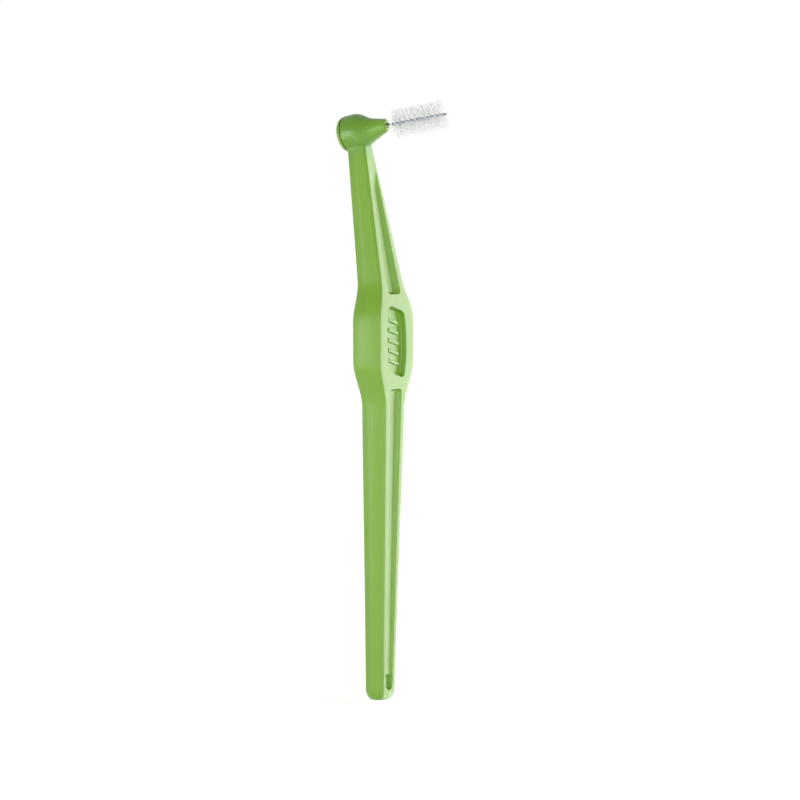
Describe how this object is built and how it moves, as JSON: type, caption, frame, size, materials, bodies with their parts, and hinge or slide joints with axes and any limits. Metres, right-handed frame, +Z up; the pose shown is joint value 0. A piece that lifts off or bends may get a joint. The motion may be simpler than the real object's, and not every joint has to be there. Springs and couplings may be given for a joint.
{
  "type": "interdental brush",
  "caption": "Angled interdental brush: a long flat moulded handle with a grip recess, and a fine twisted wire brush held across its head.",
  "frame": {"origin": "middle of the small flat at the handle's rounded end", "axes": "+Z up the handle to the head, +X out of the front face, the way the brush points, +Y across the handle's width"},
  "size_m": [0.0299, 0.0184, 0.1479],
  "materials": {
    "handle_plastic": "satin moulded",
    "cap_plastic": "satin moulded",
    "wire_steel": "drawn wire",
    "bristle_nylon": "translucent white filament"
  },
  "bodies": {
    "root": {"handle": "handle_plastic", "rear_cap": "cap_plastic", "wire_core": "wire_steel", "bristle_turn_1": "bristle_nylon", "bristle_turn_2": "bristle_nylon", "bristle_turn_3": "bristle_nylon", "bristle_turn_4": "bristle_nylon", "bristle_turn_5": "bristle_nylon"}
  },
  "joints": []
}
